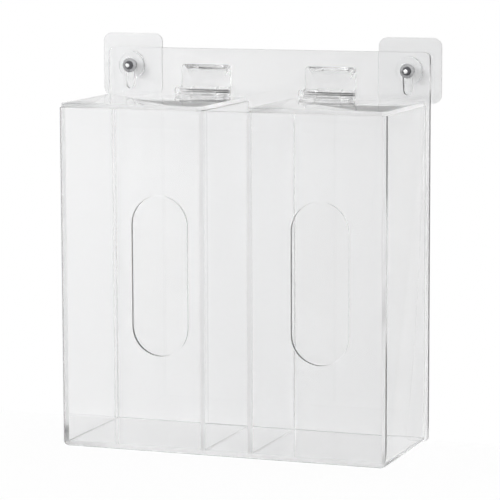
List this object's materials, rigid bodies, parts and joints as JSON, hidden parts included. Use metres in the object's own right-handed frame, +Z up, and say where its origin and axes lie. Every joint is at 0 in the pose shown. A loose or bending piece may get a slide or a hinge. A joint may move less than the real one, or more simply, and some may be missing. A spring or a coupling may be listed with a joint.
{
  "type": "disposable glove dispenser",
  "caption": "Clear wall-mounted box dispenser for disposable gloves, with tall glove openings in front, hinged lids on top and adhesive wall hooks behind.",
  "frame": {"origin": "bottom centre of the whole object, hooks and adhesive pads included", "axes": "+Z up, the front panel faces -Y, the wall is on the +Y side, +X to the right seen from the front"},
  "size_m": [0.323, 0.1274, 0.361],
  "materials": {
    "clear_sheet": "gloss",
    "clear_moulding": "gloss",
    "clear_film": "gloss",
    "polished_metal": "polished"
  },
  "bodies": {
    "case": {"front_panel": "clear_sheet", "back_panel": "clear_sheet", "left_side": "clear_sheet", "right_side": "clear_sheet", "floor_panel": "clear_sheet", "left_divider": "clear_sheet", "right_divider": "clear_sheet", "left_hinge_wall_leaf": "clear_moulding", "left_hinge_pin": "clear_moulding", "left_hook_pad": "clear_film", "left_hook_disc": "clear_moulding", "left_hook_screw": "polished_metal", "left_domed_nut": "polished_metal", "right_hinge_wall_leaf": "clear_moulding", "right_hinge_pin": "clear_moulding", "right_hook_pad": "clear_film", "right_hook_disc": "clear_moulding", "right_hook_screw": "polished_metal", "right_domed_nut": "polished_metal"},
    "left_lid": {"left_lid": "clear_sheet", "left_hinge_lid_leaf": "clear_moulding"},
    "right_lid": {"right_lid": "clear_sheet", "right_hinge_lid_leaf": "clear_moulding"}
  },
  "joints": [
    {"name": "left_lid_hinge", "type": "hinge", "parent": "case", "child": "left_lid", "pos_m": [-0.057, 0.04995, 0.3103], "axis": [-1, 0, 0], "range_deg": [0, 95]},
    {"name": "right_lid_hinge", "type": "hinge", "parent": "case", "child": "right_lid", "pos_m": [0.0615, 0.04995, 0.3103], "axis": [-1, 0, 0], "range_deg": [0, 95]}
  ]
}
